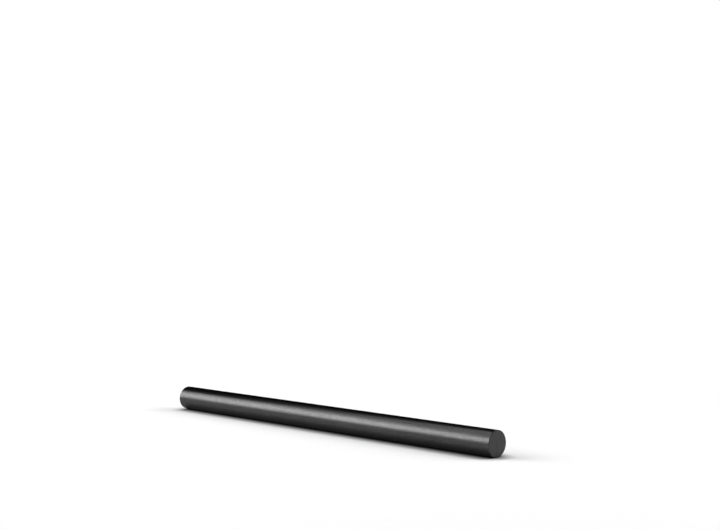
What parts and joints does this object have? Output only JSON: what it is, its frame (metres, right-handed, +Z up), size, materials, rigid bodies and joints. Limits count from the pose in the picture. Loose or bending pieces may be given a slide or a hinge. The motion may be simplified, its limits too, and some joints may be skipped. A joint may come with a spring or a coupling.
{
  "type": "round metal bar",
  "caption": "Solid round steel bar, sawn square at both ends with the edges lightly chamfered; plain dark hot-rolled stock for framing, shafts, pins and welding.",
  "frame": {"origin": "on the floor, under the middle of the bar's length", "axes": "+X along the bar's axis, +Z up from the floor that the bar lies on, +Y across the bar"},
  "size_m": [0.5, 0.028, 0.028],
  "materials": {
    "mill_scale_steel": "dark satin mill scale"
  },
  "bodies": {
    "root": {"round_bar": "mill_scale_steel"}
  },
  "joints": []
}
